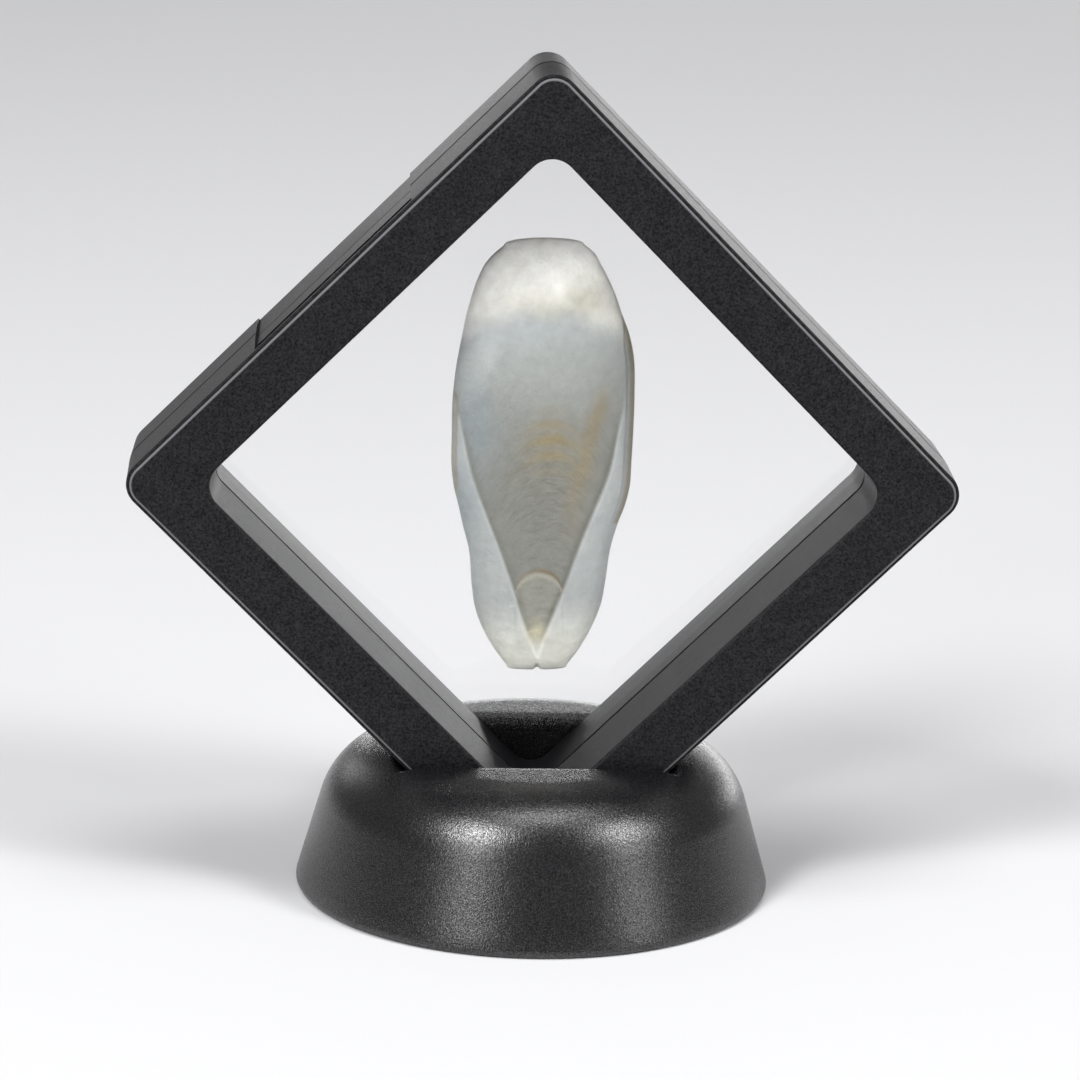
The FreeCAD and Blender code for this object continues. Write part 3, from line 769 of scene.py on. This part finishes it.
class SPECIMEN_OT_grow(bpy.types.Operator):
    """Model the cuttlebone with its flanks, growth lines, arch and edge strips"""
    bl_idname = "display.grow_cuttlebone"
    bl_label = "Grow Cuttlebone"

    rows = 400
    columns = 120
    nick_depth = 0.45
    back_tints = {"cream_and_shade": 0.4}

    def execute(self, context):
        settings = context.scene.specimen_settings
        turn = np.linspace(0, math.pi, self.rows)
        middle = (CROWN + FOOT) / 2
        heights = middle + (CROWN - FOOT) / 2 * np.cos(turn)
        sweep = np.sin(np.linspace(-math.pi / 2, math.pi / 2, self.columns))
        height = np.repeat(heights[1:-1, None], self.columns, axis=1)
        left, right = half_widths(height)
        across = np.where(sweep < 0, left, right) * sweep
        front, masks = cuttlebone_front(across, height, left, right, settings)
        back = cuttlebone_back(across, height, left, right, settings)
        nick = hump(across, -0.6, 0.28) * smooth_step(-25.0, -26.0, height)
        height = height + self.nick_depth * nick
        rows = self.rows - 2
        inner = slice(1, self.columns - 1)
        ring = np.concatenate([
            to_world(across, height, -front),
            to_world(across[:, inner], height[:, inner], back[:, inner])[:, ::-1]], axis=1)
        around = ring.shape[1]
        points = ring.reshape(-1, 3)
        ends = [to_world(np.array(0.0), np.array(end), np.array(0.0)) for end in (CROWN, FOOT)]
        points = np.vstack([points, *ends])
        faces = []
        for row in range(rows - 1):
            for place in range(around):
                beside = (place + 1) % around
                here = row * around
                below = here + around
                faces.append((here + place, below + place, below + beside, here + beside))
        crown, foot = len(points) - 2, len(points) - 1
        last = (rows - 1) * around
        for place in range(around):
            beside = (place + 1) % around
            faces.append((crown, place, beside))
            faces.append((foot, last + beside, last + place))
        piece = new_piece("cuttlebone", points, faces)
        for mask in ("growth", "grown", "across", *(tint[0] for tint in CUTTLEBONE_TINTS)):
            shares = np.zeros((rows, around))
            shares[:, :self.columns] = masks[mask]
            shares[:, self.columns:] = self.back_tints.get(mask, 0.0)
            attribute = piece.data.attributes.new(mask, "FLOAT", "POINT")
            attribute.data.foreach_set("value", np.append(shares.reshape(-1), [0.0, 0.0]))
        wear(piece, grown_chalk("grown_aragonite", settings.colour))
        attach(piece, "rear_half")
        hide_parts("specimen")
        return {"FINISHED"}


# Films

# The film's solid has a skirt as thick as FILM_WALL, and the sheet here fills the square inside
# it. The ring holds its edge, so it is free over the window only.
FILM_WALL = 0.2
SHEET_RADIUS = 4.1
SHEET_HALF = half_side(FILM_REACH, SHEET_RADIUS + FILM_WALL) - FILM_WALL
HELD_EDGE = 1.9
WINDOW_HALF = SHEET_HALF - HELD_EDGE
SHEET_LEVEL = 0.12
SKIRT = 2.0
FILM_CLEARANCE = 0.06

# The grid that the film's form is found on: half its side, its points along a side, and the
# passes over it, each of which moves a point by PULL times its way to its neighbours' mean.
GRID_REACH = 40.0
GRID_COUNT = 161
PASSES = 260
PULL = 1.93


def rest_film(settings, side):
    """Height of a film over the middle plane, on a grid: a skin drawn tight over the cuttlebone
    from the window's edge. Each pass moves every point to the mean of its neighbours, and no
    point may sink into the cuttlebone."""
    line = np.linspace(-GRID_REACH, GRID_REACH, GRID_COUNT)
    world_x, world_z = np.meshgrid(line, line, indexing="ij")
    over = world_z - RISE
    across = world_x * math.cos(LEAN) + over * math.sin(LEAN)
    height = -world_x * math.sin(LEAN) + over * math.cos(LEAN)
    within = np.clip(height, FOOT + 0.01, CROWN - 0.01)
    left, right = half_widths(within)
    inside = (np.abs(height) < CROWN) & (across > -left) & (across < right)
    if side < 0:
        body = cuttlebone_front(np.clip(across, -left, right), within, left, right, settings)[0]
    else:
        body = cuttlebone_back(np.clip(across, -left, right), within, left, right, settings)
    floor = np.where(inside, body + FILM_CLEARANCE, 0)
    free = np.abs(world_x) + np.abs(world_z) < WINDOW_HALF * math.sqrt(2)
    level = np.where(free, np.maximum(floor, SHEET_LEVEL), SHEET_LEVEL)
    odd = (np.add.outer(np.arange(GRID_COUNT), np.arange(GRID_COUNT)) % 2).astype(bool)
    for _ in range(PASSES):
        for turn in (odd, ~odd):
            mean = np.zeros_like(level)
            mean[1:-1, 1:-1] = (level[2:, 1:-1] + level[:-2, 1:-1] + level[1:-1, 2:] + level[1:-1, :-2]) / 4
            moved = np.maximum(level + PULL * (mean - level), floor)
            level = np.where(free & turn, moved, level)
    return np.maximum(level, SHEET_LEVEL)


class CASE_OT_stretch_films(bpy.types.Operator):
    """Stretch the two clear films over their windows and against the cuttlebone"""
    bl_idname = "display.stretch_films"
    bl_label = "Stretch Films"

    rings = 90
    around = 240

    def execute(self, context):
        urethane = stretched_urethane("stretched_urethane")
        thickness = context.scene.case_settings.film_thickness / MM
        for name, side, body in (("front", -1, "front_half"), ("rear", 1, "rear_half")):
            heights = rest_film(context.scene.specimen_settings, side)
            piece = self.make_film(f"{name}_stretched_film", side, thickness, heights)
            wear(piece, urethane)
            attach(piece, body)
            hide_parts(f"{name}_film")
            if side < 0:
                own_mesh(piece)
        return {"FINISHED"}

    def height_at(self, heights, across, up):
        """The height between the four points of the grid about a place."""
        spacing = 2 * GRID_REACH / (GRID_COUNT - 1)
        last = GRID_COUNT - 1.001
        column = min(max((across + GRID_REACH) / spacing, 0), last)
        row = min(max((up + GRID_REACH) / spacing, 0), last)
        x, z = int(column), int(row)
        s, t = column - x, row - z
        lower = heights[x, z] * (1 - s) + heights[x + 1, z] * s
        upper = heights[x, z + 1] * (1 - s) + heights[x + 1, z + 1] * s
        return lower * (1 - t) + upper * t

    def make_film(self, name, side, thickness, heights):
        """A closed sheet: its face, a skirt over the window's wall, and its back."""
        points = []
        shares = [share / self.rings for share in range(1, self.rings + 1)]
        outer_half = SHEET_HALF + thickness
        for place in range(self.around):
            angle = 2 * math.pi * place / self.around
            tipped = angle - math.pi / 4
            inner = rounded_square(SHEET_HALF, SHEET_RADIUS, angle)
            outer = rounded_square(outer_half, SHEET_RADIUS + thickness, angle)
            direction = (math.cos(tipped), math.sin(tipped))
            face = []
            back = []
            for share in shares:
                across, up = inner * share * direction[0], inner * share * direction[1]
                height = self.height_at(heights, across, up)
                face.append((across, side * (height + thickness), up))
                back.append((across, side * height, up))
            skirt = SHEET_LEVEL + thickness + SKIRT
            face.append((inner * direction[0], side * skirt, inner * direction[1]))
            face.append((outer * direction[0], side * skirt, outer * direction[1]))
            face.append((outer * direction[0], side * SHEET_LEVEL, outer * direction[1]))
            points.extend(face + back[::-1])
        rows = 2 * self.rings + 3
        middle = self.height_at(heights, 0, 0)
        points.append((0, side * (middle + thickness), 0))
        points.append((0, side * middle, 0))
        points = np.array(points) + np.array([0, 0, CASE_CENTRE])
        faces = tube_faces(self.around, rows, len(points) - 2, len(points) - 1)
        piece = new_piece(name, points, faces, sharp=50)
        turn_outward(piece)
        return piece


# Stand

# The slot follows the case's lower corner at the seat gap. Where it has no upright wall, the
# points that would go down that wall step in along its floor instead.
FOOT_ROUND = 0.8
WALL = 1.9
SEAT_GAP = 0.3
SLOT_HALF = half_side(CASE_REACH, CASE_RADIUS) + SEAT_GAP
SLOT_RADIUS = CASE_RADIUS + SEAT_GAP
SLOT_DEPTH = 22.0
POCKET_WALL = 1.6
STEP_IN = 0.02


def pocket_floor(half, radius, across):
    """Height of the lower corner of a rounded square on its corner, at a place across."""
    centre = CASE_CENTRE - (half - radius) * math.sqrt(2)
    if abs(across) < radius / math.sqrt(2):
        return centre - math.sqrt(radius ** 2 - across ** 2)
    return CASE_CENTRE - half * math.sqrt(2) + abs(across)


class StandSection:
    """The outline of the dome from its foot to its flat top, set in from the outside."""

    def __init__(self, settings, inset):
        slope = settings.slope
        self.top = STAND_HEIGHT - inset
        self.slope = slope
        self.foot = settings.width / 2 / MM - inset / math.cos(slope)
        self.round = settings.shoulder / MM - inset
        self.round_height = self.top - self.round
        tangent = self.round * math.tan((math.pi / 2 - slope) / 2)
        self.flat = self.foot - self.top * math.tan(slope) - tangent
        self.shoulder_start = self.round_height + self.round * math.sin(slope)

    def wall_radius(self, height):
        """Radius of the straight wall at a height."""
        return self.foot - height * math.tan(self.slope)

    def height(self, radius):
        """Height of the shoulder or the top at a radius."""
        if radius <= self.flat:
            return self.top
        reach = min(radius - self.flat, self.round)
        return self.round_height + math.sqrt(max(self.round ** 2 - reach ** 2, 0))

    def between(self, lip, steps):
        """Points from the end of the straight wall to a lip radius, evenly spaced along the way."""
        full = math.pi / 2 - self.slope
        if lip > self.flat:
            last = math.acos(min((lip - self.flat) / self.round, 1)) - self.slope
            length, rest = self.round * last, 0.0
        else:
            length, rest = self.round * full, self.flat - lip
        points = []
        for step in range(steps + 1):
            gone = (length + rest) * step / steps
            if gone <= length:
                turn = self.slope + gone / self.round
                points.append((self.flat + self.round * math.cos(turn),
                               self.round_height + self.round * math.sin(turn)))
            else:
                points.append((self.flat - (gone - length), self.top))
        return points


class STAND_OT_mould(bpy.types.Operator):
    """Model the hollow stand with its rounded slot"""
    bl_idname = "display.mould_stand"
    bl_label = "Mould Stand"

    around = 360
    foot_steps = 6
    side_steps = 6
    shoulder_steps = 40
    lip_steps = 6
    wall_steps = 4
    floor_steps = 24

    def execute(self, context):
        settings = context.scene.stand_settings
        outside = StandSection(settings, 0.0)
        inside = StandSection(settings, WALL)
        points = []
        for place in range(self.around):
            angle = 2 * math.pi * (place + 0.5) / self.around
            outer = self.outer_column(outside, settings.lip / MM, angle)
            inner = self.inner_column(inside, angle)
            column = outer[::-1] + inner
            points.extend((radius * math.cos(angle), radius * math.sin(angle), height)
                          for radius, height in column)
        rows = len(column)
        points.append((0, 0, pocket_floor(SLOT_HALF, SLOT_RADIUS, 0)))
        points.append((0, 0, pocket_floor(SLOT_HALF + POCKET_WALL, SLOT_RADIUS + POCKET_WALL, 0)))
        faces = tube_faces(self.around, rows, len(points) - 2, len(points) - 1)
        piece = new_piece("moulded_stand", points, faces, sharp=40)
        turn_outward(piece)
        finish = moulded_abs("moulded_abs_stand", settings.colour, settings.grain, roughness=0.25,
                             pit_depth=0.036 * MM, shine=0.95)
        wear(piece, finish)
        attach(piece, "stand")
        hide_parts("stand")
        return {"FINISHED"}

    def mouth(self, section, half, radius, depth, angle):
        """Radius where the slot breaks through the dome at an angle, and whether its side is upright."""
        sine, cosine = abs(math.sin(angle)), abs(math.cos(angle))
        upright = depth / 2 / max(sine, 1e-6)
        low, high = 0.0, section.flat + section.round
        for _ in range(40):
            middle = (low + high) / 2
            if section.height(middle) > pocket_floor(half, radius, middle * cosine):
                low = middle
            else:
                high = middle
        return (upright, True) if upright < low else (low, False)

    def outer_column(self, section, lip, angle):
        """From the foot up the outside, over the lip and down the slot to its middle."""
        sine, cosine = abs(math.sin(angle)), abs(math.cos(angle))
        corner = (section.foot, 0.0)
        tangent = FOOT_ROUND / math.tan((math.pi / 2 - section.slope) / 2)
        up = (section.foot - tangent * math.sin(section.slope), tangent * math.cos(section.slope))
        points = blend_corner((section.foot - tangent, 0.0), corner, up, self.foot_steps)
        end = section.shoulder_start
        for step in range(1, self.side_steps):
            height = up[1] + (end - up[1]) * step / self.side_steps
            points.append((section.wall_radius(height), height))
        mouth, upright = self.mouth(section, SLOT_HALF, SLOT_RADIUS, SLOT_DEPTH, angle)
        floor = pocket_floor(SLOT_HALF, SLOT_RADIUS, mouth * cosine)
        lean = max(sine, cosine)
        lip_start = mouth + lip / (sine if upright else lean)
        points.extend(section.between(lip_start, self.shoulder_steps))
        edge = (mouth, section.height(mouth))
        if upright:
            drop = min(lip, 0.5 * (edge[1] - floor))
            inner = (mouth, edge[1] - drop)
        else:
            inward = mouth - lip / lean
            inner = (inward, pocket_floor(SLOT_HALF, SLOT_RADIUS, inward * cosine))
        points.extend(blend_corner(points.pop(), edge, inner, self.lip_steps))
        points.extend(self.wall_points(SLOT_HALF, SLOT_RADIUS, inner, floor, upright, cosine))
        points.extend(self.floor_points(SLOT_HALF, SLOT_RADIUS, points[-1][0], cosine))
        return points

    def inner_column(self, section, angle):
        """From the rim up the inside and down round the pocket to its middle."""
        half, radius = SLOT_HALF + POCKET_WALL, SLOT_RADIUS + POCKET_WALL
        cosine = abs(math.cos(angle))
        points = [(section.foot, 0.0)]
        for step in range(1, self.side_steps):
            height = section.shoulder_start * step / self.side_steps
            points.append((section.wall_radius(height), height))
        mouth, upright = self.mouth(section, half, radius, SLOT_DEPTH + 2 * POCKET_WALL, angle)
        points.extend(section.between(mouth, self.shoulder_steps // 2))
        floor = pocket_floor(half, radius, mouth * cosine)
        top = (mouth, section.height(mouth))
        points.extend(self.wall_points(half, radius, top, floor, upright, cosine))
        points.extend(self.floor_points(half, radius, points[-1][0], cosine))
        return points

    def wall_points(self, half, radius, start, floor, upright, cosine):
        """Points from a start down an upright wall to the floor, or a little in along the floor
        where there is no such wall."""
        points = []
        for step in range(1, self.wall_steps + 1):
            share = step / self.wall_steps
            if upright:
                points.append((start[0], start[1] + (floor - start[1]) * share))
            else:
                inward = start[0] - STEP_IN * share
                points.append((inward, pocket_floor(half, radius, inward * cosine)))
        return points

    def floor_points(self, half, radius, start, cosine):
        """Points along the pocket's floor from a radius to just short of the middle."""
        points = []
        for step in range(1, self.floor_steps):
            reach = start * (1 - step / self.floor_steps)
            points.append((reach, pocket_floor(half, radius, reach * cosine)))
        return points


def blend_corner(start, corner, end, steps):
    """A quarter of an ellipse from start to end that touches the lines to a corner."""
    points = []
    for step in range(steps + 1):
        turn = math.pi / 2 * step / steps
        back, forth = 1 - math.sin(turn), 1 - math.cos(turn)
        points.append((corner[0] + (start[0] - corner[0]) * back + (end[0] - corner[0]) * forth,
                       corner[1] + (start[1] - corner[1]) * back + (end[1] - corner[1]) * forth))
    return points


# Stage

# Softboxes: azimuth and elevation in degrees seen from the case, sides in metres, and watts.
LAMPS = (
    ("left_softbox", -40, 45, (0.34, 0.6), 18.5),
    ("left_fill", -34, 18, (0.34, 0.6), 5.4),
    ("right_softbox", 58, 42, (0.34, 0.6), 12.5),
    ("right_fill", 52, 16, (0.34, 0.6), 4.6),
    ("overhead_softbox", 20, 79, (0.9, 0.42), 8.0),
    ("rear_softbox", 164, 1.6, (1.6, 0.16), 4.6),
    ("rear_left_fill", -150, 15, (0.4, 0.4), 0.8),
)
LAMP_DISTANCE = 1.6


class STAGE_OT_set(bpy.types.Operator):
    """Lay the pale floor, hang the soft lamps and place the camera"""
    bl_idname = "display.set_stage"
    bl_label = "Set Stage"

    def execute(self, context):
        stage = context.scene.stage_settings
        self.lay_floor(stage)
        self.light_world(stage)
        aim = Vector((-stage.aside, 0, CASE_CENTRE * MM))
        for name, azimuth, elevation, size, power in LAMPS:
            self.hang_lamp(name, aim, azimuth, elevation, size, power)
        self.place_camera(context, stage, aim)
        context.scene.view_settings.view_transform = "Standard"
        return {"FINISHED"}

    def lay_floor(self, stage):
        """A wide board, painted pale and matt."""
        half = 3000.0
        corners = [(-half, -half, 0), (half, -half, 0), (half, half, 0), (-half, half, 0)]
        floor = new_piece("floor", corners, [(0, 1, 2, 3)])
        material, tree, output = new_material("painted_board")
        surface = add_node(tree, "ShaderNodeBsdfPrincipled", {
            "Base Color": (*stage.floor, 1), "Roughness": 0.85})
        tree.links.new(surface.outputs["BSDF"], output.inputs["Surface"])
        wear(floor, material)

    def light_world(self, stage):
        """An even pale surround, that fills in what the lamps leave dark."""
        world = bpy.data.worlds.new("soft_surround")
        world.use_nodes = True
        tree = world.node_tree
        tree.nodes.clear()
        glow = add_node(tree, "ShaderNodeBackground", {
            "Color": (*linear("FFFFFF"), 1), "Strength": stage.surround})
        output = add_node(tree, "ShaderNodeOutputWorld")
        tree.links.new(glow.outputs["Background"], output.inputs["Surface"])
        bpy.context.scene.world = world

    def hang_lamp(self, name, aim, azimuth, elevation, size, power):
        """A softbox that faces the case, placed by its direction from the case's centre."""
        lamp = bpy.data.lights.new(name, "AREA")
        lamp.shape = "RECTANGLE"
        lamp.size, lamp.size_y = size
        lamp.energy = power
        back = direction(math.radians(azimuth), math.radians(elevation))
        hung = bpy.data.objects.new(name, lamp)
        hung.location = aim + back * LAMP_DISTANCE
        hung.rotation_euler = (-back).to_track_quat("-Z", "Y").to_euler()
        hung.visible_camera = False
        bpy.context.scene.collection.objects.link(hung)

    def place_camera(self, context, stage, aim):
        """The camera looks at the case's centre, is rolled, and then tips down a little."""
        camera = bpy.data.objects.new("camera", bpy.data.cameras.new("camera"))
        camera.data.lens = stage.lens
        camera.data.clip_start = 10 * MM
        back = direction(stage.azimuth, stage.elevation)
        looking = (-back).to_track_quat("-Z", "Y").to_matrix()
        rolled = looking @ Matrix.Rotation(stage.roll, 3, "Z") @ Matrix.Rotation(-stage.drop, 3, "X")
        camera.location = aim + back * stage.distance
        camera.rotation_euler = rolled.to_euler()
        context.scene.collection.objects.link(camera)
        context.scene.camera = camera


# Panel and registration

OPERATORS = (
    STAGE_OT_set,
    CASE_OT_finish_mouldings,
    CASE_OT_rib_parting,
    CASE_OT_finish_hinge_pin,
    STAND_OT_mould,
    SPECIMEN_OT_grow,
    CASE_OT_stretch_films,
)


class DISPLAY_PT_panel(bpy.types.Panel):
    """Lists the steps that finish the display frame"""
    bl_idname = "DISPLAY_PT_panel"
    bl_label = "Display Frame"
    bl_space_type = "VIEW_3D"
    bl_region_type = "UI"
    bl_category = "Display Frame"

    def draw(self, context):
        for operator in OPERATORS:
            self.layout.operator(operator.bl_idname)
        for name in SETTINGS:
            settings = getattr(context.scene, name)
            box = self.layout.box()
            for setting in settings.__annotations__:
                box.prop(settings, setting)


SETTINGS = {
    "stand_settings": StandSettings,
    "case_settings": CaseSettings,
    "specimen_settings": SpecimenSettings,
    "stage_settings": StageSettings,
}
CLASSES = (*SETTINGS.values(), *OPERATORS, DISPLAY_PT_panel)


def register():
    for kind in CLASSES:
        bpy.utils.register_class(kind)
    for name, kind in SETTINGS.items():
        setattr(bpy.types.Scene, name, PointerProperty(type=kind))


def unregister():
    for name in SETTINGS:
        delattr(bpy.types.Scene, name)
    for kind in reversed(CLASSES):
        bpy.utils.unregister_class(kind)


def main():
    """Register the classes and run every step in order."""
    register()
    for operator in OPERATORS:
        area, name = operator.bl_idname.split(".")
        getattr(getattr(bpy.ops, area), name)()


if __name__ == "__main__":
    main()
